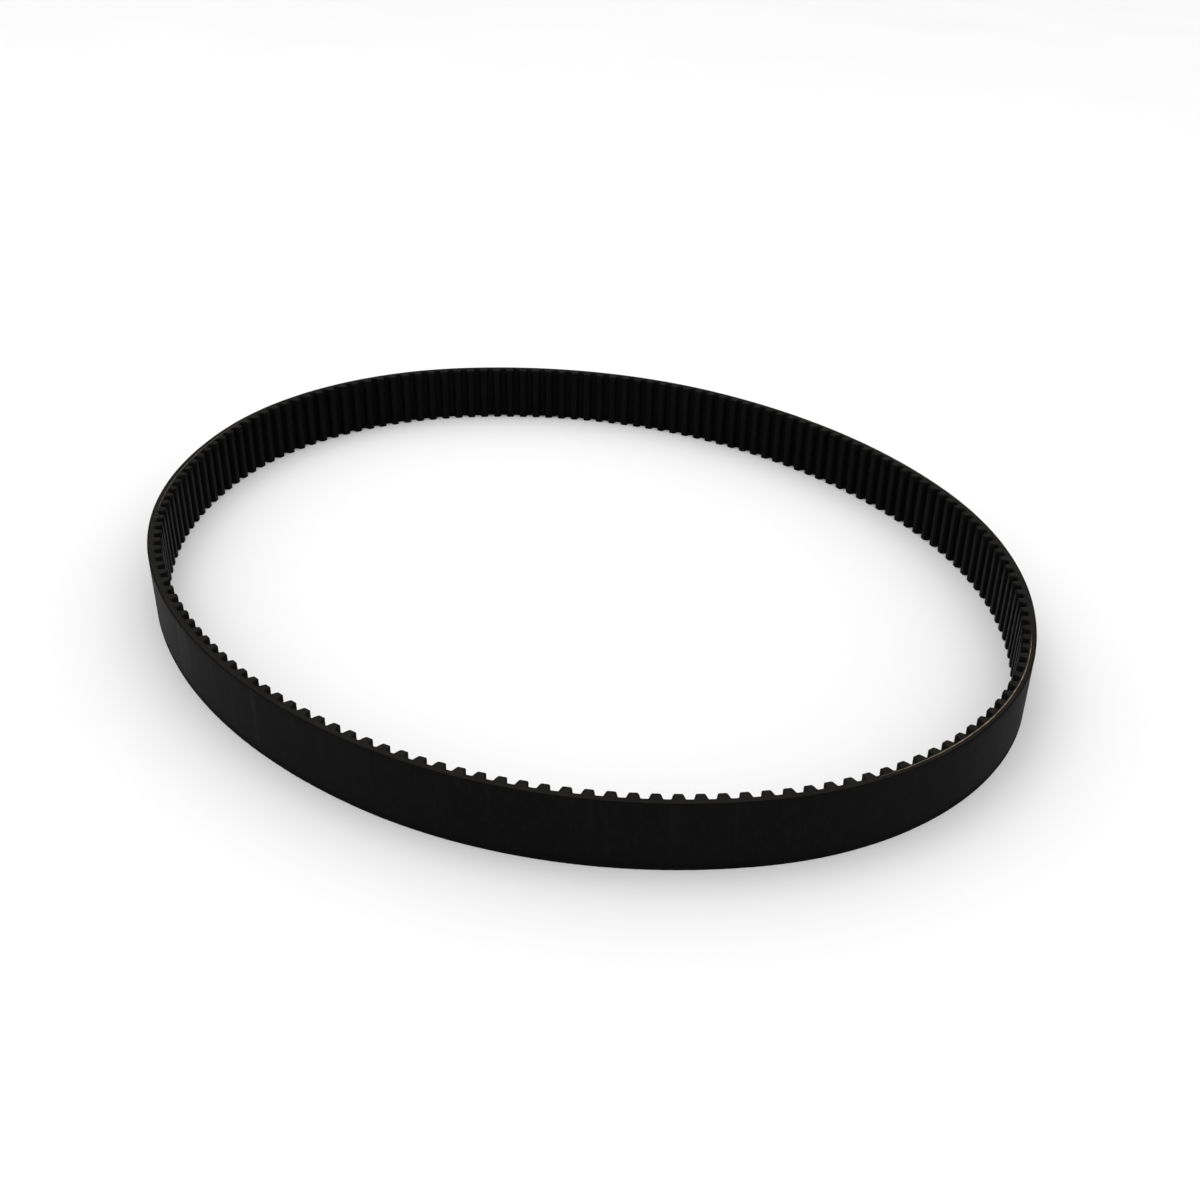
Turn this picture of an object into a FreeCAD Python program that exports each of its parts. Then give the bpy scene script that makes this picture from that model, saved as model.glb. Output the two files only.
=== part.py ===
import FreeCAD, Part
import Sketcher
import math
import os
import sys

# Endless timing belt: 162 moulded teeth on the inside of a flexible loop, a smooth back outside.
#
# The belt stands on one of its two cut edges and relaxes into an oval.  The frame's origin is the
# middle of the oval in the plane of the lower cut edge.  +X runs along the long axis of the oval,
# +Y along the short axis and +Z across the belt's width.
#
# All layers are offsets of one line, the pitch line, which passes through the middle of the
# tensile cords.  It is eight tangent arcs: a tight end arc at each end of the long axis, a nearly
# flat side arc at each end of the short axis, and a shoulder arc between each pair.  Every arc
# holds a whole number of teeth, so arcs always meet in the middle of a land between two teeth.

DIMENSIONS = (
    ("tooth_pitch", 8.0, "between teeth, along the pitch line"),
    ("belt_width", 30.0, "between the two cut edges"),
    ("end_teeth", 20, "on each end arc"),
    ("shoulder_teeth", 20, "on each shoulder arc"),
    ("side_teeth", 21, "on each side arc"),
    ("end_half_angle", 30.5, "degrees that an end arc reaches either side of the long axis"),
    ("shoulder_angle", 42.0, "degrees that a shoulder arc turns"),
    ("back_offset", 2.25, "pitch line out to the smooth back"),
    ("land_offset", 0.85, "pitch line in to the land between two teeth"),
    ("fabric_thickness", 0.25, "facing fabric over teeth and lands"),
    ("fabric_setback", 0.1, "from a cut edge of the rubber to the edge of the fabric"),
    ("tooth_height", 3.15, "land to tooth tip"),
    ("tooth_root_width", 5.0, "flank to flank at the land"),
    ("flank_radius", 10.0, "of the bulging flank"),
    ("flank_depth", 1.2, "land out to the level of the flank's centre, which slopes the flank"),
    ("tip_radius", 0.7, "flank to flat tip"),
    ("root_radius", 0.6, "flank to land"),
    ("cord_diameter", 0.8, "of one tensile cord"),
    ("cord_spacing", 1.2, "between neighbouring turns"),
    ("turns_per_twist", 12, "whole turns of each cord"),
    ("first_turn_height", 1.2, "lower cut edge to the first turn"),
    ("rim_turn_depth", 0.1, "upper cut edge down to the turns that the cut lays open"),
)

ORIGIN = FreeCAD.Vector(0, 0, 0)
UP = FreeCAD.Vector(0, 0, 1)

doc = FreeCAD.newDocument("timing_belt")
sizes = doc.addObject("Spreadsheet::Sheet", "sizes")
for line, (alias, value, meaning) in enumerate(DIMENSIONS, start=1):
    sizes.set(f"A{line}", str(value))
    sizes.setAlias(f"A{line}", alias)
    sizes.set(f"B{line}", meaning)
doc.recompute()


def size(alias):
    """The value of one cell of the sheet."""
    return float(sizes.get(alias))


# ---------------------------------------------------------------- the pitch line

def arc_radius(kind, turn):
    """Radius of the arc that holds its teeth in the given turn, in degrees."""
    return size(f"{kind}_teeth") * size("tooth_pitch") / math.radians(turn)


class BeltArc:
    """One arc of the pitch line: its centre, its radius and the teeth that it holds."""

    def __init__(self, kind, centre_x, centre_y, start_angle, turn):
        self.kind = kind
        self.centre = FreeCAD.Vector(centre_x, centre_y, 0)
        self.start_angle = start_angle
        self.turn = turn
        self.teeth = int(size(f"{kind}_teeth"))
        self.radius = arc_radius(kind, turn)

    def turn_expression(self):
        """Degrees that this kind of arc turns, in the sheet's terms."""
        return {
            "end": "2 * sizes.end_half_angle",
            "shoulder": "sizes.shoulder_angle",
            "side": "(180 - 2 * sizes.end_half_angle - 2 * sizes.shoulder_angle)",
        }[self.kind]

    def radius_expression(self, offset):
        """Radius of the arc moved outwards by an offset that is itself an expression."""
        length = f"sizes.{self.kind}_teeth * sizes.tooth_pitch"
        return f"{length} * 180 / (pi * {self.turn_expression()}) + {offset}"


def belt_arcs():
    """The eight arcs in order, anticlockwise from the end arc on the +X side."""
    end_reach = size("end_half_angle")
    side_start = end_reach + size("shoulder_angle")
    end_turn = 2 * end_reach
    shoulder_turn = size("shoulder_angle")
    side_turn = 180 - 2 * side_start

    # Neighbouring arcs are tangent, so their centres lie on one line through the meeting point.
    shoulder_radius = arc_radius("shoulder", shoulder_turn)
    end_to_shoulder = shoulder_radius - arc_radius("end", end_turn)
    shoulder_to_side = arc_radius("side", side_turn) - shoulder_radius
    shoulder_x = shoulder_to_side * math.cos(math.radians(side_start))
    shoulder_y = -end_to_shoulder * math.sin(math.radians(end_reach))
    end_x = shoulder_x + end_to_shoulder * math.cos(math.radians(end_reach))
    side_y = shoulder_y - shoulder_to_side * math.sin(math.radians(side_start))

    arcs = []
    for half, sign in ((0, 1), (180, -1)):
        arcs.append(BeltArc("end", sign * end_x, 0, half - end_reach, end_turn))
        arcs.append(BeltArc("shoulder", sign * shoulder_x, sign * shoulder_y,
                            half + end_reach, shoulder_turn))
        arcs.append(BeltArc("side", 0, sign * side_y, half + side_start, side_turn))
        arcs.append(BeltArc("shoulder", -sign * shoulder_x, sign * shoulder_y,
                            half + 180 - side_start, shoulder_turn))
    return arcs


ARCS = belt_arcs()


# ---------------------------------------------------------------- the smooth back

def origin_plane(body, role):
    """One of the body's own origin planes."""
    return next(item for item in body.Origin.OriginFeatures if item.Role == role)


def pitch_arc(arc, offset):
    """The arc moved outwards by an offset, as sketch geometry."""
    circle = Part.Circle(arc.centre, UP, arc.radius + offset)
    start = math.radians(arc.start_angle)
    return Part.ArcOfCircle(circle, start, start + math.radians(arc.turn))


def draw_loop(sketch, offset, offset_expression):
    """Draw the pitch line moved outwards by an offset, every radius bound to the sheet."""
    for arc in ARCS:
        edge = sketch.addGeometry(pitch_arc(arc, offset), False)
        index = sketch.addConstraint(Sketcher.Constraint("Radius", edge, arc.radius + offset))
        sketch.renameConstraint(index, f"radius_{edge}")
        sketch.setExpression(f"Constraints.radius_{edge}", arc.radius_expression(offset_expression))


def make_backing_ring():
    """Plain ring of backing rubber, from the pitch line out to the back."""
    body = doc.addObject("PartDesign::Body", "backing_ring")
    sketch = body.newObject("Sketcher::SketchObject", "backing_loops")
    sketch.AttachmentSupport = [(origin_plane(body, "XY_Plane"), "")]
    sketch.MapMode = "FlatFace"
    draw_loop(sketch, size("back_offset"), "sizes.back_offset")
    draw_loop(sketch, 0, "0")
    pad = body.newObject("PartDesign::Pad", "backing_pad")
    pad.Profile = sketch
    pad.setExpression("Length", "sizes.belt_width")
    return body


# ---------------------------------------------------------------- the tooth profile

def arc_between(centre, first, last):
    """The shorter arc about a centre that joins two points."""
    angles = [math.atan2(point.y - centre.y, point.x - centre.x) for point in (first, last)]
    if (angles[1] - angles[0]) % math.tau > math.pi:
        angles.reverse()
    sweep = (angles[1] - angles[0]) % math.tau
    circle = Part.Circle(centre, UP, (first - centre).Length)
    return Part.ArcOfCircle(circle, angles[0], angles[0] + sweep)


def circles_meet(first_centre, first_radius, second_centre, second_radius):
    """The crossing of two circles that lies on the +Y side of the line between them."""
    gap = second_centre - first_centre
    along = (first_radius ** 2 - second_radius ** 2 + gap.Length ** 2) / (2 * gap.Length)
    across = math.sqrt(first_radius ** 2 - along ** 2)
    gap.normalize()
    side = FreeCAD.Vector(-gap.y, gap.x, 0)
    if side.y < 0:
        side = side.negative()
    return first_centre + gap * along + side * across


def towards(start, target, distance):
    """The point at a distance from start on the way to target."""
    direction = target - start
    return start + direction.normalize() * distance


def mirrored(point):
    """The point on the other side of the tooth's middle."""
    return FreeCAD.Vector(point.x, -point.y, 0)


def pitch_edges(arc, inset):
    """One pitch of toothed surface: land, root, flank, tip, crest and back down again.

    The arc's centre is at the origin and the tooth points along -X, towards the inside of the
    loop.  An inset of 0 is the outer face of the fabric.  An inset of the fabric's thickness is
    the face where fabric and tooth rubber meet, with every arc about the same centre.
    """
    flank_radius = size("flank_radius")
    tip_radius = size("tip_radius")
    land_x = arc.radius - size("land_offset")
    tip_x = land_x - size("tooth_height")
    flank_x = land_x + size("flank_depth")

    flank_reach = math.sqrt(flank_radius ** 2 - (flank_x - land_x) ** 2)
    flank_centre = FreeCAD.Vector(flank_x, size("tooth_root_width") / 2 - flank_reach, 0)
    root_centre = circles_meet(ORIGIN, land_x - size("root_radius"),
                               flank_centre, flank_radius + size("root_radius"))
    tip_centre_x = tip_x + tip_radius
    tip_reach = math.sqrt((flank_radius - tip_radius) ** 2 - (flank_x - tip_centre_x) ** 2)
    tip_centre = FreeCAD.Vector(tip_centre_x, flank_centre.y + tip_reach, 0)

    half_pitch = math.radians(arc.turn / arc.teeth / 2)
    land_radius = land_x + inset
    land_end = FreeCAD.Vector(math.cos(half_pitch), math.sin(half_pitch), 0) * land_radius
    on_land = towards(ORIGIN, root_centre, land_radius)
    on_root = towards(flank_centre, root_centre, flank_radius - inset)
    on_flank = towards(flank_centre, tip_centre, flank_radius - inset)
    on_tip = FreeCAD.Vector(tip_x + inset, tip_centre.y, 0)

    rising = (
        (ORIGIN, land_end, on_land),
        (root_centre, on_land, on_root),
        (flank_centre, on_root, on_flank),
        (tip_centre, on_flank, on_tip),
    )
    edges = [arc_between(centre, first, last) for centre, first, last in rising]
    edges.append(Part.LineSegment(on_tip, mirrored(on_tip)))
    for centre, first, last in reversed(rising):
        edges.append(arc_between(mirrored(centre), mirrored(last), mirrored(first)))
    return [edge.toShape() for edge in edges]


def toothed_loop(inset):
    """Closed wire of the whole toothed surface."""
    edges = []
    for arc in ARCS:
        pitch = Part.Compound(pitch_edges(arc, inset))
        for tooth in range(arc.teeth):
            angle = arc.start_angle + arc.turn * (tooth + 0.5) / arc.teeth
            copy = pitch.copy()
            copy.Placement = FreeCAD.Placement(arc.centre, FreeCAD.Rotation(UP, angle))
            edges.extend(copy.Edges)
    return Part.Wire(Part.__sortEdges__(edges))


def add_layer(label, outer_wire, inner_wire, base_height, height_expression):
    """Extrude the flat face between two closed wires across the belt's width."""
    face = doc.addObject("Part::Feature", f"{label}_face")
    face.Shape = Part.makeFace([outer_wire, inner_wire], "Part::FaceMakerBullseye")
    face.Placement = FreeCAD.Placement(UP * base_height, FreeCAD.Rotation())
    layer = doc.addObject("Part::Extrusion", label)
    layer.Label = label
    layer.Base = face
    layer.DirMode = "Custom"
    layer.Dir = UP
    layer.Solid = True
    layer.setExpression("LengthFwd", height_expression)
    return layer


# ---------------------------------------------------------------- the tensile cords

def make_cord_arcs():
    """One torus sector per arc of the pitch line: together, one flat turn of cord at Z = 0."""
    sectors = []
    for number, arc in enumerate(ARCS):
        sector = doc.addObject("Part::Torus", f"cord_arc_{number}")
        sector.setExpression("Radius1", arc.radius_expression("0"))
        sector.setExpression("Radius2", "sizes.cord_diameter / 2")
        sector.setExpression("Angle3", arc.turn_expression())
        sector.Placement = FreeCAD.Placement(arc.centre, FreeCAD.Rotation(UP, arc.start_angle))
        sectors.append(sector)
    return sectors


def rim_turn(sectors):
    """Stretch of cord that the upper cut has sliced open along its length."""
    stretch = sectors[0].Shape.fuse(sectors[1].Shape)
    stretch.translate(UP * (size("belt_width") - size("rim_turn_depth")))
    reach = 2 * max(arc.radius for arc in ARCS)
    corner = FreeCAD.Vector(-reach, -reach, 0)
    below_cut = Part.makeBox(2 * reach, 2 * reach, size("belt_width"), corner)
    return stretch.common(below_cut).Solids


def make_cord(label, first_turn, turn, sectors):
    """All turns of one cord: every second place across the width, and its open rim stretch."""
    solids = []
    for number in range(int(size("turns_per_twist"))):
        place = first_turn + 2 * number
        copy = turn.Shape.copy()
        copy.translate(UP * (size("first_turn_height") + place * size("cord_spacing")))
        solids.extend(copy.Solids)
    solids.extend(rim_turn(sectors))
    cord = doc.addObject("Part::Feature", label)
    cord.Label = label
    cord.Shape = Part.Compound(solids)
    return cord


# ---------------------------------------------------------------- the belt

def cut_channels(label, layer, cords):
    """Rubber layer with a channel moulded round every turn of cord."""
    channelled = doc.addObject("Part::Cut", label)
    channelled.Label = label
    channelled.Base = layer
    channelled.Tool = cords
    return channelled


def build():
    """Make every sub-part, from the back inwards."""
    sectors = make_cord_arcs()
    turn = doc.addObject("Part::MultiFuse", "cord_turn")
    turn.Shapes = sectors
    doc.recompute()
    cord_s = make_cord("tensile_cord_s_twist", 0, turn, sectors[0:2])
    cord_z = make_cord("tensile_cord_z_twist", 1, turn, sectors[4:6])
    cords = doc.addObject("Part::Compound", "both_cords")
    cords.Links = [cord_s, cord_z]

    pitch_wire = Part.Wire([pitch_arc(arc, 0).toShape() for arc in ARCS])
    rubber_wire = toothed_loop(size("fabric_thickness"))
    fabric_wire = toothed_loop(0)
    tooth_ring = add_layer("tooth_ring", pitch_wire, rubber_wire, 0, "sizes.belt_width")
    fabric = add_layer("facing_fabric", rubber_wire, fabric_wire, size("fabric_setback"),
                       "sizes.belt_width - 2 * sizes.fabric_setback")
    return [
        cut_channels("backing_rubber", make_backing_ring(), cords),
        cord_s,
        cord_z,
        cut_channels("tooth_rubber", tooth_ring, cords),
        fabric,
    ]


def failed(item):
    """Whether the last recompute left an object in error."""
    return "Invalid" in item.State or "Error" in item.State


sub_parts = build()
doc.recompute()
broken = [item.Label for item in doc.Objects if failed(item)]
broken += [item.Label for item in sub_parts if item.Shape.isNull() or not item.Shape.isValid()]
if broken:
    sys.exit(f"not built: {broken}")

os.makedirs("parts", exist_ok=True)
for item in sub_parts:
    item.Shape.exportStep(os.path.join("parts", f"{item.Label}.step"))
    box = item.Shape.BoundBox
    print(f"{item.Label}: {len(item.Shape.Solids)} solids, {item.Shape.Volume:.0f} mm3, "
          f"{box.XLength:.2f} x {box.YLength:.2f} x {box.ZLength:.2f} mm from Z {box.ZMin:.2f}")
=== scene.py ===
import math

import bpy
import numpy as np
from mathutils import Matrix, Vector


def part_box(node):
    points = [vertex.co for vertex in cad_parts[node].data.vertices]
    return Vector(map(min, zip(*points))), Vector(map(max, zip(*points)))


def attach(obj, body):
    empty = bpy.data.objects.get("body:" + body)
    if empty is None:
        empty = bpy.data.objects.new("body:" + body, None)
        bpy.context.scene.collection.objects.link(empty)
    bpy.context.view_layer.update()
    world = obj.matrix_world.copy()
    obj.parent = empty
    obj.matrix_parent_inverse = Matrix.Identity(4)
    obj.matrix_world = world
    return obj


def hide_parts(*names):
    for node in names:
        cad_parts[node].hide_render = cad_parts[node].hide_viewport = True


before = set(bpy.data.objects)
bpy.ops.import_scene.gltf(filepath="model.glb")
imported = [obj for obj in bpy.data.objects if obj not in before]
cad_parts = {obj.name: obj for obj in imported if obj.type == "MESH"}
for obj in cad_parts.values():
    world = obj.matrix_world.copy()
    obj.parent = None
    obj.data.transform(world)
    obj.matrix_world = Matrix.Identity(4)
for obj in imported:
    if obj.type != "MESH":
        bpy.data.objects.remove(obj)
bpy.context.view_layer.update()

# A timing belt standing on one cut edge.  Lengths are metres.  "Along" is the distance round the
# pitch line, anticlockwise from the +X end of the oval.  "Out" is the distance outwards from the
# pitch line, which runs through the middle of the tensile cords.

MM = 0.001

# The loop: teeth and half angles of its arcs.
TOOTH_PITCH = 8 * MM
END_TEETH, SHOULDER_TEETH, SIDE_TEETH = 20, 20, 21
TEETH = 2 * END_TEETH + 4 * SHOULDER_TEETH + 2 * SIDE_TEETH
END_HALF_ANGLE = math.radians(30.5)
SHOULDER_ANGLE = math.radians(42)
SIDE_HALF_ANGLE = math.pi / 2 - END_HALF_ANGLE - SHOULDER_ANGLE
LOOP_LENGTH = TEETH * TOOTH_PITCH

# The toothed side.
LAND_DEPTH = 0.85 * MM
FABRIC_THICKNESS = 0.25 * MM
# Width of the painted shadow strip on the tooth ends, just inside the fabric.
SHADOW_STRIP_WIDTH = 0.4 * MM
TOOTH_HEIGHT = 3.15 * MM
TOOTH_ROOT_WIDTH = 5 * MM
FLANK_RADIUS = 10 * MM
FLANK_DEPTH = 1.2 * MM
TIP_RADIUS = 0.7 * MM
ROOT_RADIUS = 0.6 * MM
ROOT_POINTS, FLANK_POINTS, TIP_POINTS = 6, 4, 5

# The cords, and where the winding runs out through the lower and the upper cut.
CORD_RADIUS = 0.4 * MM
S_TOP, Z_TOP = 3.25 * TOOTH_PITCH, 96 * TOOTH_PITCH
S_BOTTOM, Z_BOTTOM = 50 * TOOTH_PITCH, 131 * TOOTH_PITCH
TOP_CROSSINGS = ((S_TOP, 0.6), (Z_TOP, 0.35))             # place, share of the cord laid open
BOTTOM_CROSSINGS = ((S_BOTTOM, 0.6), (Z_BOTTOM, 0.5))
CUT_REACH = 74 * MM
BOND_LINE = 0.012 * MM
CUT_BACK = 0.03 * MM
CLEAR_OF_FLOOR = 0.02 * MM

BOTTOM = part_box("backing_rubber")[0].z
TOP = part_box("backing_rubber")[1].z
FABRIC_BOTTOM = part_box("facing_fabric")[0].z
FABRIC_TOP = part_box("facing_fabric")[1].z

# Light rubbing on the back, on the middle of one long side.
RUBBED_PLACE = (-0.03, -0.187, 0.015)
RUBBED_REACH = 0.08

CAMERA_TURN = math.radians(46.26)
CAMERA_HEIGHT_ANGLE = math.radians(30.38)
CAMERA_DISTANCE = 81.04 * TOOTH_PITCH
CAMERA_ROLL = math.radians(2.74)
CAMERA_TARGET = Vector((5.471 * TOOTH_PITCH, -2.798 * TOOTH_PITCH, 0))
CAMERA_LENS = 40.77
CAMERA_SHIFT = (-0.0558, 0.0063)

random = np.random.default_rng(162)


# ---------------------------------------------------------------- the pitch line

def belt_arcs():
    """(centre, radius, start angle, length) of the eight tangent arcs, from the +X end."""
    end_radius = END_TEETH * TOOTH_PITCH / (2 * END_HALF_ANGLE)
    shoulder_radius = SHOULDER_TEETH * TOOTH_PITCH / SHOULDER_ANGLE
    side_radius = SIDE_TEETH * TOOTH_PITCH / (2 * SIDE_HALF_ANGLE)
    side_start = END_HALF_ANGLE + SHOULDER_ANGLE
    inward = shoulder_radius - end_radius
    across = side_radius - shoulder_radius
    shoulder_x = across * math.cos(side_start)
    shoulder_y = -inward * math.sin(END_HALF_ANGLE)
    end_x = shoulder_x + inward * math.cos(END_HALF_ANGLE)
    side_y = shoulder_y - across * math.sin(side_start)
    arcs = []
    for half, sign in ((0, 1), (math.pi, -1)):
        arcs.append(((sign * end_x, 0), end_radius, half - END_HALF_ANGLE, END_TEETH))
        arcs.append(((sign * shoulder_x, sign * shoulder_y), shoulder_radius,
                     half + END_HALF_ANGLE, SHOULDER_TEETH))
        arcs.append(((0, sign * side_y), side_radius, half + side_start, SIDE_TEETH))
        arcs.append(((-sign * shoulder_x, sign * shoulder_y), shoulder_radius,
                     half + math.pi - side_start, SHOULDER_TEETH))
    return [(centre, radius, start, teeth * TOOTH_PITCH) for centre, radius, start, teeth in arcs]


ARCS = belt_arcs()
FIRST_ARC_START = -END_TEETH * TOOTH_PITCH / 2
BACK_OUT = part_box("backing_rubber")[1].x - (ARCS[0][0][0] + ARCS[0][1])


def on_loop(along, out):
    """X and Y of points at a distance along and out from the pitch line."""
    along, out = np.broadcast_arrays(np.asarray(along, float), np.asarray(out, float))
    travelled = (along - FIRST_ARC_START) % LOOP_LENGTH
    x, y = np.zeros(along.shape), np.zeros(along.shape)
    arc_start = 0.0
    for centre, radius, start, length in ARCS:
        here = (travelled >= arc_start) & (travelled < arc_start + length)
        angle = start + (travelled[here] - arc_start) / radius
        x[here] = centre[0] + (radius + out[here]) * np.cos(angle)
        y[here] = centre[1] + (radius + out[here]) * np.sin(angle)
        arc_start += length
    return x, y


def around(first, second):
    """Signed distance along the loop from one place to another, the short way."""
    return (second - first + LOOP_LENGTH / 2) % LOOP_LENGTH - LOOP_LENGTH / 2


def ripple(along, across, waves, amplitude, longest, shortest, across_scale=0.0):
    """Smooth unevenness that closes on itself round the loop."""
    total = np.zeros(np.broadcast(along, across).shape)
    for _ in range(waves):
        cycles = round(LOOP_LENGTH / random.uniform(shortest, longest))
        slope = random.uniform(-across_scale, across_scale)
        phase = random.uniform(0, math.tau)
        total += np.cos(math.tau * cycles * along / LOOP_LENGTH + slope * across + phase)
    return amplitude * total / math.sqrt(waves)


# ---------------------------------------------------------------- the tooth profile

def arc_points(centre, first, last, count):
    """Points on the short arc about a centre from first to last, both ends included."""
    a0 = math.atan2(first[1] - centre[1], first[0] - centre[0])
    a1 = math.atan2(last[1] - centre[1], last[0] - centre[0])
    turn = (a1 - a0 + math.pi) % math.tau - math.pi
    radius = math.hypot(first[0] - centre[0], first[1] - centre[1])
    angles = a0 + turn * np.linspace(0, 1, count)
    return [(centre[0] + radius * math.cos(a), centre[1] + radius * math.sin(a)) for a in angles]


def stepped(start, target, distance):
    """The point at a distance from start on the way to target."""
    length = math.hypot(target[0] - start[0], target[1] - start[1])
    return tuple(s + (t - s) * distance / length for s, t in zip(start, target))


def pitch_profile(inset):
    """(along, out) of one pitch of toothed surface, set into the belt by the inset.

    It runs from one land's middle over a tooth and stops short of the next land's middle, which
    belongs to the next pitch, so pitches join without doubled points.
    """
    land = -LAND_DEPTH
    crest = land - TOOTH_HEIGHT
    flank_x = TOOTH_ROOT_WIDTH / 2 - math.sqrt(FLANK_RADIUS ** 2 - FLANK_DEPTH ** 2)
    flank_centre = (flank_x, land + FLANK_DEPTH)
    drop = FLANK_DEPTH + ROOT_RADIUS
    root_x = flank_x + math.sqrt((FLANK_RADIUS + ROOT_RADIUS) ** 2 - drop ** 2)
    root_centre = (root_x, land - ROOT_RADIUS)
    rise = FLANK_DEPTH + TOOTH_HEIGHT - TIP_RADIUS
    tip_x = flank_x + math.sqrt((FLANK_RADIUS - TIP_RADIUS) ** 2 - rise ** 2)
    tip_centre = (tip_x, crest + TIP_RADIUS)
    on_land = (root_x, land + inset)
    on_root = stepped(flank_centre, root_centre, FLANK_RADIUS - inset)
    on_flank = stepped(flank_centre, tip_centre, FLANK_RADIUS - inset)
    on_tip = (tip_x, crest + inset)
    right = [(TOOTH_PITCH / 2, land + inset)]
    right += arc_points(root_centre, on_land, on_root, ROOT_POINTS)
    right += arc_points(flank_centre, on_root, on_flank, FLANK_POINTS)[1:]
    right += arc_points(tip_centre, on_flank, on_tip, TIP_POINTS)[1:]
    right.append((tip_x / 3, crest + inset))
    left = [(-u, v) for u, v in right]
    return np.array(left + right[:0:-1])


def toothed_stations(inset):
    """(along, out) of the toothed surface all the way round."""
    profile = pitch_profile(inset)
    starts = FIRST_ARC_START + TOOTH_PITCH * (np.arange(TEETH) + 0.5)
    along = (starts[:, None] + profile[None, :, 0]).ravel()
    out = np.tile(profile[:, 1], TEETH)
    return along, out


# ---------------------------------------------------------------- where the cords meet the cut

def cord_rise(distance):
    """Height of a cord's middle over the cut, where distance is along from its crossing."""
    past_the_cut = 1.2
    return CORD_RADIUS * np.clip(distance / CUT_REACH, -past_the_cut, past_the_cut)


def open_half_width(along, crossings):
    """Half the width of the cord that the cut lays open, never less than the bond line."""
    widest = 0.92 * CORD_RADIUS
    ragged = 0.25
    short_wave, long_wave = 0.9 * MM, 3.1 * MM
    width = np.full(np.shape(along), BOND_LINE)
    for place, share in crossings:
        rise = cord_rise(around(place, along))
        open_width = np.sqrt(np.clip(widest ** 2 - rise ** 2, 0, None))
        edge = 1 + ragged * np.sin(along / short_wave) + ragged * np.sin(along / long_wave + 1)
        width = np.maximum(width, share * open_width * edge)
    return width


# ---------------------------------------------------------------- meshes round the loop

def new_object(name, vertices, faces, materials, face_material=None, caps=()):
    """A mesh object that rides on the belt's one body.  The caps close the ends of its tubes."""
    mesh = bpy.data.meshes.new(name)
    mesh.from_pydata(vertices.tolist(), [], faces.tolist() + [list(cap) for cap in caps])
    for material in materials:
        mesh.materials.append(material)
    if face_material is not None:
        mesh.polygons.foreach_set("material_index", np.asarray(face_material, np.int32))
    mesh.polygons.foreach_set("use_smooth", np.full(len(mesh.polygons), True))
    mesh.update()
    piece = bpy.data.objects.new(name, mesh)
    bpy.context.scene.collection.objects.link(piece)
    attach(piece, "root")
    return piece


def loop_grid(along, out, height, open_ended=False):
    """Vertices and quads of a closed section carried round the loop.

    Rows of the arrays are stations round the loop and columns go round the section.
    """
    stations, section = out.shape
    x, y = on_loop(along, out)
    vertices = np.stack([x, y, height], -1).reshape(-1, 3)
    rows = np.arange(stations - 1 if open_ended else stations)
    i, j = np.meshgrid(rows, np.arange(section), indexing="ij")
    nexti, nextj = (i + 1) % stations, (j + 1) % section
    corners = [i * section + j, nexti * section + j, nexti * section + nextj, i * section + nextj]
    faces = np.stack([corner.ravel() for corner in corners], -1)
    return vertices, faces


def add_belt_map(piece, along, across):
    """UV map in metres along the loop and across it, for the weave and the grinding marks."""
    mesh = piece.data
    layer = mesh.uv_layers.new(name="belt")
    loops = np.empty(len(mesh.loops), np.int32)
    mesh.loops.foreach_get("vertex_index", loops)
    u = along.ravel()[loops]
    v = across.ravel()[loops]
    first_of_face = np.empty(len(mesh.polygons), np.int32)
    mesh.polygons.foreach_get("loop_start", first_of_face)
    size_of_face = np.empty(len(mesh.polygons), np.int32)
    mesh.polygons.foreach_get("loop_total", size_of_face)
    anchor = np.repeat(u[first_of_face], size_of_face)
    u = anchor + around(anchor, u)
    layer.data.foreach_set("uv", np.stack([u, v], -1).astype(np.float32).ravel())


# ---------------------------------------------------------------- materials

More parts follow.
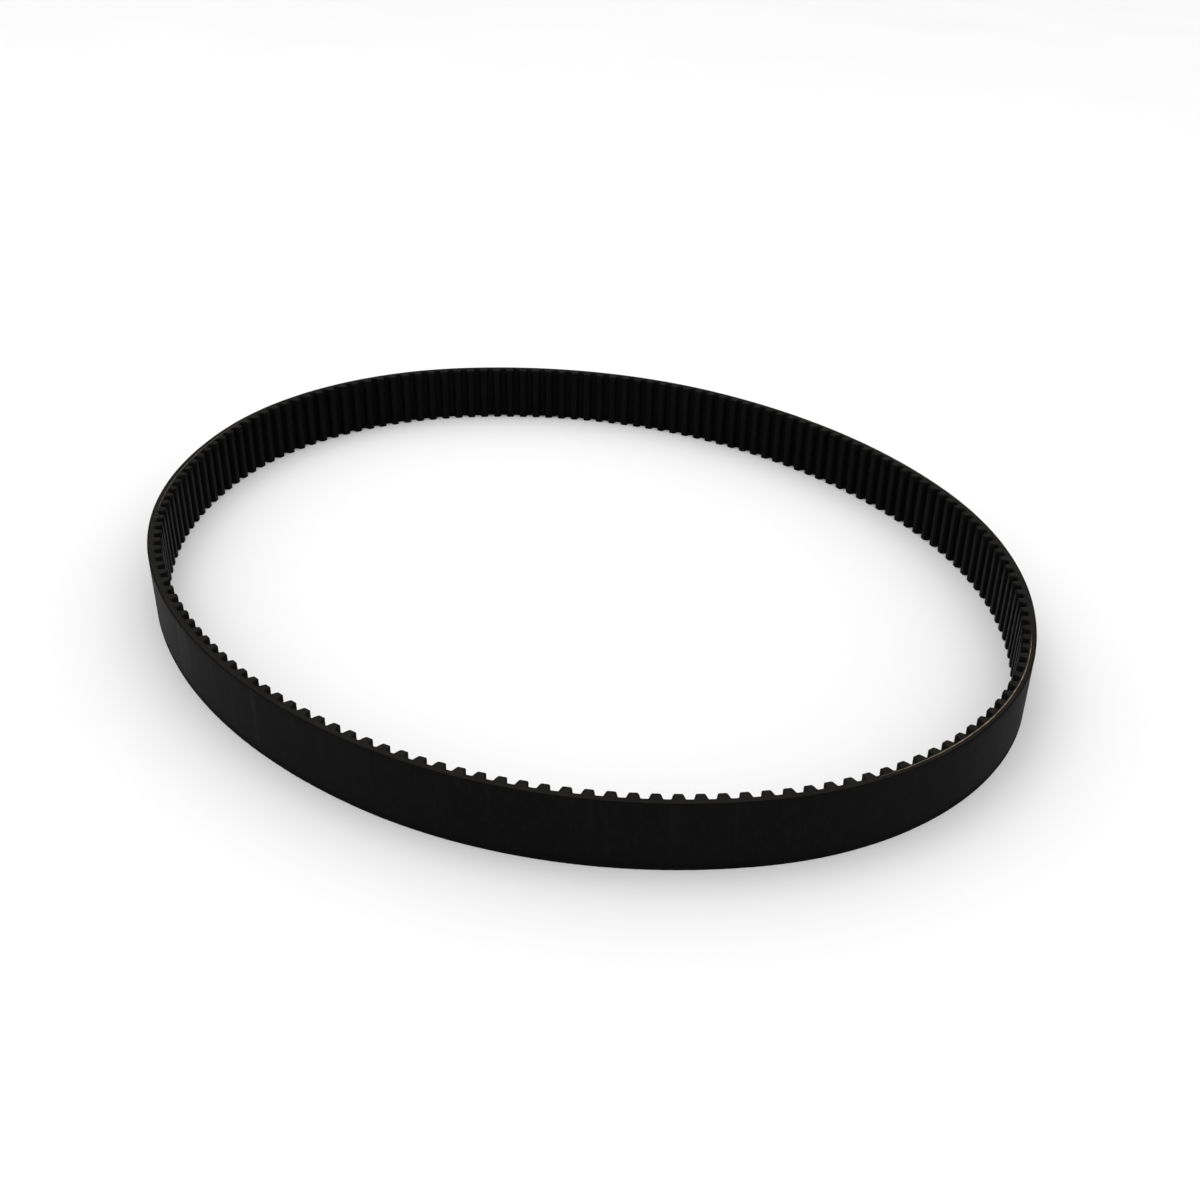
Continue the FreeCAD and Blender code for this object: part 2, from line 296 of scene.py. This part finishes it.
class Shader:
    """Short forms for building one node material."""

    def __init__(self, name):
        self.material = bpy.data.materials.new(name)
        self.material.use_nodes = True
        self.tree = self.material.node_tree
        self.surface = self.tree.nodes["Principled BSDF"]

    def node(self, kind, inputs=(), **settings):
        made = self.tree.nodes.new(kind)
        for key, value in settings.items():
            setattr(made, key, value)
        for key, value in dict(inputs).items():
            self.set(made, key, value)
        return made

    def set(self, node, key, value):
        if isinstance(value, bpy.types.NodeSocket):
            self.tree.links.new(value, node.inputs[key])
        else:
            node.inputs[key].default_value = value

    def finish(self, **sockets):
        for key, value in sockets.items():
            self.set(self.surface, key.replace("_", " "), value)
        return self.material

    def belt_position(self, along_scale, across_scale):
        """Position in the belt map, scaled along and across."""
        uv = self.node("ShaderNodeUVMap", uv_map="belt").outputs["UV"]
        return self.node("ShaderNodeMapping", {
            "Vector": uv, "Scale": (along_scale, across_scale, 1)}).outputs["Vector"]

    def object_position(self):
        return self.node("ShaderNodeTexCoord").outputs["Object"]

    def place(self, scale):
        """Position on the object, scaled."""
        return self.node("ShaderNodeMapping", {
            "Vector": self.object_position(), "Scale": (scale, scale, scale)}).outputs["Vector"]

    def noise(self, position, detail=3.0, rough=0.5):
        return self.node("ShaderNodeTexNoise", {
            "Vector": position, "Scale": 1.0, "Detail": detail, "Roughness": rough}).outputs["Fac"]

    def ramp(self, value, start, low, end, high):
        """Colour that goes from low to high as the value goes from start to end."""
        ramp = self.node("ShaderNodeValToRGB", {"Fac": value})
        for element, position, colour in zip(ramp.color_ramp.elements, (start, end), (low, high)):
            element.position = position
            element.color = (*colour, 1)
        return ramp.outputs["Color"]

    def grey(self, value, low, high, start=0.3, end=0.7):
        """Number that goes from low to high as the value goes from start to end."""
        return self.node("ShaderNodeMapRange", {
            "Value": value, "From Min": start, "From Max": end, "To Min": low, "To Max": high,
        }).outputs["Result"]

    def mix(self, share, first, second):
        """The first colour, a link, with a share of the second, three numbers, laid over it."""
        mixed = self.node("ShaderNodeMix", data_type="RGBA")
        factor, first_colour, second_colour, colour_out = 0, 6, 7, 2
        self.set(mixed, factor, share)
        self.set(mixed, first_colour, first)
        self.set(mixed, second_colour, (*second, 1))
        return mixed.outputs[colour_out]

    def maths(self, operation, first, second=0.0):
        made = self.node("ShaderNodeMath", operation=operation)
        self.set(made, 0, first)
        self.set(made, 1, second)
        return made.outputs[0]

    def bump(self, height, distance, strength, under=None):
        made = self.node("ShaderNodeBump", {
            "Height": height, "Distance": distance, "Strength": strength})
        if under is not None:
            self.set(made, "Normal", under)
        return made.outputs["Normal"]


def ground_rubber():
    """Smooth outer back: black rubber, ground matt, with faint scuffs across the belt."""
    dark, light = (0.0021, 0.0021, 0.0022), (0.0037, 0.0037, 0.0038)
    mottled, scuffed = (0.0062, 0.0062, 0.0063), (0.03, 0.03, 0.0305)
    shader = Shader("ground_rubber")
    cloud = shader.noise(shader.place(14), detail=4)
    grain = shader.noise(shader.place(2600), detail=2)
    grinding = shader.noise(shader.belt_position(90, 4200), detail=3)
    mottle = shader.noise(shader.belt_position(600, 170), detail=5, rough=0.75)
    scuff = shader.noise(shader.belt_position(260, 11), detail=3, rough=0.6)
    away = shader.node("ShaderNodeVectorMath", {0: shader.object_position(), 1: RUBBED_PLACE},
                       operation="DISTANCE").outputs["Value"]
    rubbed = shader.grey(away, low=1, high=0.12, start=RUBBED_REACH / 4, end=RUBBED_REACH)
    scuff = shader.maths("MULTIPLY", shader.grey(scuff, 0, 1, start=0.54, end=0.68), rubbed)
    base = shader.ramp(cloud, 0.3, dark, 0.7, light)
    base = shader.mix(shader.grey(mottle, 0, 0.8, start=0.5, end=0.72), base, mottled)
    base = shader.mix(shader.maths("MULTIPLY", scuff, 0.4), base, scuffed)
    normal = shader.bump(grain, distance=0.03 * MM, strength=0.5)
    normal = shader.bump(grinding, distance=0.02 * MM, strength=0.4, under=normal)
    return shader.finish(Base_Color=base, Roughness=shader.grey(cloud, 0.54, 0.64),
                         Normal=normal, Specular_IOR_Level=0.025)


def cut_rubber():
    """Slit rim: brownish grey rubber dust in fine drag lines that follow the loop."""
    dark, light = (0.0056, 0.0051, 0.0044), (0.0120, 0.0107, 0.0089)
    dragged, dusty = (0.018, 0.0164, 0.0139), (0.034, 0.0306, 0.0264)
    bare = (0.0012, 0.0012, 0.0012)
    shader = Shader("cut_rubber")
    drag = shader.noise(shader.belt_position(60, 5200), detail=4, rough=0.6)
    patch = shader.noise(shader.place(55), detail=4)
    speck = shader.noise(shader.place(3600), detail=2)
    colour = shader.ramp(patch, 0.3, dark, 0.7, light)
    colour = shader.mix(shader.grey(drag, 0, 0.5), colour, dragged)
    colour = shader.mix(shader.grey(speck, 0, 0.5, start=0.62, end=0.75), colour, dusty)
    out = shader.node("ShaderNodeSeparateXYZ", {"Vector": shader.belt_position(1, 1)}).outputs["Y"]
    line_start, line_full = BACK_OUT - 0.75 * MM, BACK_OUT - 0.5 * MM
    colour = shader.mix(shader.grey(out, 0, 0.9, line_start, line_full), colour, bare)
    normal = shader.bump(drag, distance=0.04 * MM, strength=0.7)
    normal = shader.bump(speck, distance=0.03 * MM, strength=0.5, under=normal)
    return shader.finish(Base_Color=colour, Roughness=0.85, Normal=normal,
                         Specular_IOR_Level=0.05)


def painted_shadow_strip():
    """Painted shadow: a thin dark strip along the cut edge of the fabric on the tooth ends, where the
    tooth rubber meets the fabric.
    """
    dark, light = (0.0006, 0.0006, 0.0006), (0.003, 0.0028, 0.0026)
    shader = Shader("painted_shadow_strip")
    speck = shader.noise(shader.place(2400), detail=3)
    colour = shader.ramp(speck, 0.35, dark, 0.75, light)
    normal = shader.bump(speck, distance=0.03 * MM, strength=0.5)
    return shader.finish(Base_Color=colour, Roughness=0.7, Normal=normal,
                         Specular_IOR_Level=0.05)


def facing_weave():
    """Black nylon facing: a fine plain weave, sunk in rubber, with a painted highlight where yarns
    stand up.
    """
    dark, light = (0.0018, 0.0018, 0.0018), (0.0029, 0.0029, 0.0029)
    painted_yarn_highlight = (0.0055, 0.0055, 0.0055)
    yarn = 0.36 * MM
    cycles = round(LOOP_LENGTH / yarn) / LOOP_LENGTH * math.tau
    shader = Shader("facing_weave")
    split = shader.node("ShaderNodeSeparateXYZ", {"Vector": shader.belt_position(cycles, cycles)})
    warp = shader.maths("SINE", split.outputs["X"])
    weft = shader.maths("SINE", split.outputs["Y"])
    weave = shader.maths("MULTIPLY", warp, weft)
    cloud = shader.noise(shader.place(60), detail=3)
    fluff = shader.noise(shader.place(5200), detail=2)
    colour = shader.ramp(cloud, 0.3, dark, 0.7, light)
    # Painted highlight: the crowns of the weave are lightened.
    colour = shader.mix(shader.grey(weave, 0, 0.5, start=0.1, end=0.9), colour, painted_yarn_highlight)
    normal = shader.bump(weave, distance=0.05 * MM, strength=0.5)
    normal = shader.bump(fluff, distance=0.02 * MM, strength=0.4, under=normal)
    return shader.finish(Base_Color=colour, Roughness=shader.grey(cloud, 0.42, 0.5),
                         Normal=normal, Specular_IOR_Level=0.022)


def glass_cord(name, pale, deep):
    """Resin-dipped glass fibre: fine pale filaments that lie along the cord."""
    resin = (0.022, 0.018, 0.014)
    shader = Shader(name)
    fibre = shader.noise(shader.belt_position(240, 15000), detail=4, rough=0.65)
    blotch = shader.noise(shader.place(130), detail=3)
    colour = shader.ramp(fibre, 0.3, deep, 0.72, pale)
    colour = shader.mix(shader.grey(blotch, 0, 0.55, start=0.45, end=0.7), colour, resin)
    normal = shader.bump(fibre, distance=0.04 * MM, strength=0.8)
    return shader.finish(Base_Color=colour, Roughness=0.55, Normal=normal, Specular_IOR_Level=0.4)


def pale_floor():
    """Plain pale studio floor with the slightest unevenness of tone."""
    shader = Shader("pale_floor")
    tone = shader.noise(shader.place(3), detail=2)
    colour = shader.ramp(tone, 0.3, (0.93, 0.93, 0.93), 0.7, (0.95, 0.95, 0.95))
    return shader.finish(Base_Color=colour, Roughness=0.9, Specular_IOR_Level=0.1)


BACK_SKIN = ground_rubber()
CUT_FACE = cut_rubber()
# Dark material for the painted shadow strip beside the fabric.
SHADOW_STRIP = painted_shadow_strip()
FACING = facing_weave()
CORD_S = glass_cord("glass_cord_s", (0.30, 0.215, 0.13), (0.09, 0.062, 0.036))
CORD_Z = glass_cord("glass_cord_z", (0.14, 0.11, 0.08), (0.04, 0.031, 0.022))


# ---------------------------------------------------------------- the backing rubber

def add_backing():
    """Smooth outer layer with softened, slightly uneven cut edges."""
    stations_per_tooth = 10
    sunk = 0.03 * MM
    dished = 0.02 * MM
    along = np.linspace(0, LOOP_LENGTH, TEETH * stations_per_tooth, endpoint=False)[:, None]
    edge = 0.22 * MM + ripple(along, 0.0, waves=14, amplitude=0.035 * MM,
                              longest=40 * MM, shortest=3 * MM)
    edge = np.clip(edge, 0.1 * MM, 0.35 * MM)
    top_open = open_half_width(along, TOP_CROSSINGS)
    bottom_open = open_half_width(along, BOTTOM_CROSSINGS)
    back = BACK_OUT - sunk - np.abs(ripple(along, 0.0, waves=12, amplitude=0.02 * MM,
                                           longest=260 * MM, shortest=30 * MM))
    columns = []

    def column(out, height, cut):
        columns.append((np.broadcast_to(out, along.shape), np.broadcast_to(height, along.shape), cut))

    edge_angles = np.linspace(0, math.pi / 2, 4)
    column(0.0, BOTTOM + bottom_open + BOND_LINE, True)
    for share in (0, 0.2, 0.4, 0.6, 0.8):
        rise = ripple(along, share * 9, waves=10, amplitude=0.008 * MM,
                      longest=60 * MM, shortest=4 * MM, across_scale=1) ** 2
        column(bottom_open + (back - edge - bottom_open) * share, BOTTOM + rise, True)
    for angle in edge_angles:
        column(back - edge + edge * math.sin(angle), BOTTOM + edge * (1 - math.cos(angle)), True)
    for share in np.linspace(0, 1, 13)[1:-1]:
        swell = ripple(along, share * 5, waves=8, amplitude=0.012 * MM,
                       longest=200 * MM, shortest=20 * MM, across_scale=1)
        height = BOTTOM + edge + (TOP - BOTTOM - 2 * edge) * share
        column(back + swell - dished, height, False)
    for angle in edge_angles[::-1]:
        column(back - edge + edge * math.sin(angle), TOP - edge * (1 - math.cos(angle)), angle < 1)
    for share in (0.8, 0.6, 0.4, 0.2, 0):
        dip = np.abs(ripple(along, share * 9, waves=12, amplitude=0.018 * MM,
                            longest=50 * MM, shortest=1.5 * MM, across_scale=1))
        column(top_open + (back - edge - top_open) * share, TOP - dip, True)
    column(0.0, TOP - top_open - BOND_LINE, True)

    outs, heights, cuts = zip(*columns)
    out = np.concatenate(outs, 1)
    height = np.concatenate(heights, 1)
    cut = np.array(cuts)
    wide_along = np.broadcast_to(along, out.shape)
    vertices, faces = loop_grid(wide_along, out, height)
    face_cut = np.tile(cut | np.roll(cut, -1), len(along))
    piece = new_object("backing_rubber_shell", vertices, faces, [BACK_SKIN, CUT_FACE], face_cut)
    add_belt_map(piece, wide_along, np.where(cut[None, :], out, height))
    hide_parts("backing_rubber")


# ---------------------------------------------------------------- the tooth rubber

def add_tooth_rubber():
    """Teeth and web in one moulding, with cut end faces that dish a little."""
    shadow_strip_drop = 0.11 * MM
    along, inner = toothed_stations(FABRIC_THICKNESS)
    # The painted shadow strip runs from this line in to the fabric, sunk a little below the cut face.
    strip_edge_along, strip_edge = toothed_stations(FABRIC_THICKNESS + SHADOW_STRIP_WIDTH)
    top_open = open_half_width(strip_edge_along, TOP_CROSSINGS)
    bottom_open = open_half_width(strip_edge_along, BOTTOM_CROSSINGS)
    flat = np.zeros(len(inner))
    columns = [(strip_edge_along, flat, TOP - top_open - BOND_LINE)]
    for share in (0, 0.25, 0.5, 0.75, 1):
        relief = np.abs(ripple(strip_edge_along, share * 9, waves=12, amplitude=0.018 * MM,
                               longest=50 * MM, shortest=1.5 * MM, across_scale=1))
        columns.append((strip_edge_along, -top_open + (strip_edge + top_open) * share, TOP - relief))
    shadow_strip_columns = [len(columns) - 1]
    columns.append((along, inner, flat + TOP - shadow_strip_drop))
    columns.append((along, inner, flat + BOTTOM + shadow_strip_drop))
    shadow_strip_columns.append(len(columns) - 1)
    for share in (1, 0.5, 0):
        columns.append((strip_edge_along, -bottom_open + (strip_edge + bottom_open) * share, flat + BOTTOM))
    columns.append((strip_edge_along, flat, BOTTOM + bottom_open + BOND_LINE))
    wide_along, out, height = (np.stack(part, 1) for part in zip(*columns))
    vertices, faces = loop_grid(wide_along, out, height)
    # Faces of the strip next to the fabric take the painted shadow material.
    is_shadow_strip = np.isin(np.arange(len(columns)), shadow_strip_columns)
    face_material = np.tile(is_shadow_strip, len(along))
    piece = new_object("tooth_rubber_moulding", vertices, faces, [CUT_FACE, SHADOW_STRIP], face_material)
    add_belt_map(piece, wide_along, out)
    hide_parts("tooth_rubber")


# ---------------------------------------------------------------- the facing fabric

def unrolled_profile():
    """Distance over the fabric of every station, scaled so that each tooth takes one pitch."""
    profile = pitch_profile(0)
    steps = np.hypot(*np.diff(profile, axis=0).T)
    run = np.concatenate([[0], np.cumsum(steps)])
    total = run[-1] + TOOTH_PITCH - (profile[-1, 0] - profile[0, 0])
    return (np.arange(TEETH)[:, None] * TOOTH_PITCH + run[None] * TOOTH_PITCH / total).ravel()


def add_facing():
    """Woven skin over teeth and lands, the same thickness all along, with rolled cut edges."""
    hem = 0.07 * MM
    under_edge = 0.01 * MM
    fringe_drop = 0.02 * MM
    along_face, face = toothed_stations(0)
    along_under, under = toothed_stations(FABRIC_THICKNESS)
    middle_along, middle = (along_face + along_under) / 2, (face + under) / 2
    flat = np.zeros(len(face))
    rows = np.linspace(FABRIC_BOTTOM, FABRIC_TOP, 7)
    rows[0] += hem
    rows[-1] -= hem
    columns = [(along_under, under, flat + FABRIC_TOP - under_edge),
               (along_under, under, flat + FABRIC_BOTTOM + under_edge),
               (middle_along, middle, flat + FABRIC_BOTTOM)]
    columns += [(along_face, face, flat + height) for height in rows]
    fringe = ripple(along_face, 0.0, waves=20, amplitude=0.02 * MM,
                    longest=6 * MM, shortest=0.8 * MM)
    columns.append((middle_along, middle, FABRIC_TOP + fringe - fringe_drop))
    along, out, height = (np.stack(part, 1) for part in zip(*columns))
    vertices, faces = loop_grid(along, out, height)
    piece = new_object("facing_fabric_skin", vertices, faces[:, ::-1], [FACING])
    add_belt_map(piece, np.broadcast_to(unrolled_profile()[:, None], out.shape), height)
    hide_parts("facing_fabric")


# ---------------------------------------------------------------- the tensile cords

def add_cord(name, node, material, first_crossing, last_crossing, twist):
    """One cord wound from the lower cut to the upper one, each end sliced open by the cut."""
    whole_turns = 12
    sides = 14
    strands, strand_relief, lay = 3, 0.09, 7 * MM
    fine, coarse = 0.5 * MM, TOOTH_PITCH
    taper = 0.06 * CUT_REACH
    smallest_taper = 0.0025
    sliver = 0.04 * MM
    highest_fray = 0.02 * MM
    slack_radius = 0.94 * CORD_RADIUS
    clear_of_cut = 1.1 * CORD_RADIUS
    past_crossing = 0.98 * CUT_REACH

    travel = whole_turns * LOOP_LENGTH + (last_crossing - first_crossing) % LOOP_LENGTH
    reach = 1.1 * CUT_REACH
    start, end = -past_crossing, travel + past_crossing
    stops = np.concatenate([
        np.arange(start, reach, fine * 2),
        np.arange(reach, travel - reach, coarse),
        np.arange(travel - reach, end - fine / 2, fine),
        [end]])
    low, high = BOTTOM + clear_of_cut, TOP - clear_of_cut
    steady = low + (high - low) * np.clip((stops - reach) / (travel - 2 * reach), 0, 1)
    middle = np.where(stops < reach, BOTTOM + cord_rise(stops), steady)
    middle = np.where(stops > travel - reach, TOP + cord_rise(stops - travel), middle)

    angle = np.linspace(0, math.tau, sides, endpoint=False)[None, :]
    twisted = strands * angle + twist * math.tau * stops[:, None] / lay
    from_end = np.minimum(stops - start, end - stops)[:, None]
    point = np.sqrt(np.clip(from_end / taper, smallest_taper, 1))
    radius = slack_radius * (1 + strand_relief * np.cos(twisted)) * point
    out = radius * np.cos(angle)
    fray = ripple(stops[:, None], angle * 40, waves=16, amplitude=0.012 * MM,
                  longest=8 * MM, shortest=1.2 * MM, across_scale=1)
    lowest = BOTTOM + CLEAR_OF_FLOOR + sliver * (1 + np.sin(angle)) / 2
    highest = TOP - CUT_BACK + np.minimum(fray, highest_fray) - sliver * (1 - np.sin(angle)) / 2
    height = np.clip(middle[:, None] + radius * np.sin(angle), lowest, highest)
    along = np.broadcast_to(first_crossing + stops[:, None], out.shape)

    vertices, faces = loop_grid(along, out, height, open_ended=True)
    last_ring = range(len(vertices) - sides, len(vertices))
    caps = (range(sides), reversed(last_ring))
    piece = new_object(name, vertices, faces, [material], caps=caps)
    add_belt_map(piece, along, np.broadcast_to(angle * CORD_RADIUS, out.shape))
    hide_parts(node)


# ---------------------------------------------------------------- loose filaments

def add_fray():
    """Short loose filaments that stand off the cut edges of the facing fabric."""
    count, rings, sides = 420, 5, 3
    root_inside, top_root, bottom_root = 0.05 * MM, FABRIC_TOP - 0.02 * MM, FABRIC_BOTTOM + 0.05 * MM
    thinning, inward, bend, curl = 0.6, 0.7, 1.5, 2.2
    share = np.linspace(0, 1, rings)
    vertices, faces, caps = [], [], []
    along_face, face = toothed_stations(0)
    for number in range(count):
        at_top = number % 3 > 0
        pick = random.integers(len(face))
        root_z = top_root if at_top else bottom_root
        length = random.uniform(0.25, 0.9) * MM
        thickness = random.uniform(0.012, 0.022) * MM
        lean = random.uniform(-0.8, 0.8)
        lift = random.uniform(0.1, 0.5) if at_top else 0.02
        run = along_face[pick] + lean * length * share ** bend
        out = face[pick] + root_inside - length * share * inward
        rise = root_z + lift * length * np.sin(share * curl)
        x, y = on_loop(run, out)
        base = len(vertices)
        for ring in range(rings):
            reach = thickness * (1 - thinning * share[ring])
            for side in range(sides):
                turn = math.tau * side / sides
                z = max(rise[ring] + reach * math.sin(turn + 1), BOTTOM + CLEAR_OF_FLOOR)
                vertices.append((x[ring] + reach * math.cos(turn),
                                 y[ring] + reach * math.sin(turn), z))
        for ring in range(rings - 1):
            for side in range(sides):
                a = base + ring * sides + side
                b = base + ring * sides + (side + 1) % sides
                faces.append((a, b, b + sides, a + sides))
        last = base + (rings - 1) * sides
        caps += [range(base + sides - 1, base - 1, -1), range(last, last + sides)]
    piece = new_object("facing_fabric_fray", np.array(vertices), np.array(faces), [FACING],
                       caps=caps)
    layer = piece.data.uv_layers.new(name="belt")
    layer.data.foreach_set("uv", np.zeros(len(piece.data.loops) * 2, np.float32))


# ---------------------------------------------------------------- studio and camera

def add_floor():
    """Plain pale disc, just under the belt's lower edge."""
    radius = 12.0
    below = 0.05 * MM
    corners = [(radius * math.cos(a), radius * math.sin(a), BOTTOM - below)
               for a in np.linspace(0, math.tau, 64, endpoint=False)]
    mesh = bpy.data.meshes.new("floor")
    mesh.from_pydata(corners, [], [tuple(range(len(corners)))])
    mesh.materials.append(pale_floor())
    floor = bpy.data.objects.new("floor", mesh)
    bpy.context.scene.collection.objects.link(floor)


def add_light():
    """Soft white light from all round, a little stronger from above."""
    world = bpy.data.worlds.new("studio")
    world.use_nodes = True
    world.node_tree.nodes["Background"].inputs["Color"].default_value = (1, 1, 1, 1)
    world.node_tree.nodes["Background"].inputs["Strength"].default_value = 1.0
    bpy.context.scene.world = world
    lamps = (("key", (-0.6, -0.3, 1.8), 1.2, 4.2),
             ("fill", (1.2, 0.9, 1.5), 1.4, 2))
    for name, place, width, watts in lamps:
        lamp = bpy.data.lights.new(name, "AREA")
        lamp.size = width
        lamp.energy = watts
        holder = bpy.data.objects.new(name, lamp)
        holder.location = place
        holder.rotation_euler = (-Vector(place)).to_track_quat("-Z", "Y").to_euler()
        bpy.context.scene.collection.objects.link(holder)
    bpy.context.scene.view_settings.view_transform = "Standard"


def add_camera():
    """Camera above the belt, looking down across the oval from between its side and its end."""
    data = bpy.data.cameras.new("camera")
    data.sensor_width = 36
    data.lens = CAMERA_LENS
    data.shift_x, data.shift_y = CAMERA_SHIFT
    data.clip_start = 0.01
    turn = Matrix.Rotation(CAMERA_TURN, 4, "Z")
    back = Vector((0, -math.cos(CAMERA_HEIGHT_ANGLE), math.sin(CAMERA_HEIGHT_ANGLE)))
    place = turn @ (CAMERA_TARGET + back * CAMERA_DISTANCE)
    tilt = Matrix.Rotation(math.pi / 2 - CAMERA_HEIGHT_ANGLE, 4, "X")
    roll = Matrix.Rotation(CAMERA_ROLL, 4, "Z")
    camera = bpy.data.objects.new("camera", data)
    camera.matrix_world = Matrix.Translation(place) @ turn @ tilt @ roll
    bpy.context.scene.collection.objects.link(camera)
    bpy.context.scene.camera = camera


add_camera()
add_floor()
add_light()
add_backing()
add_tooth_rubber()
add_facing()
add_cord("tensile_cord_s_wound", "tensile_cord_s_twist", CORD_S, S_BOTTOM, S_TOP, 1)
add_cord("tensile_cord_z_wound", "tensile_cord_z_twist", CORD_Z, Z_BOTTOM, Z_TOP, -1)
add_fray()
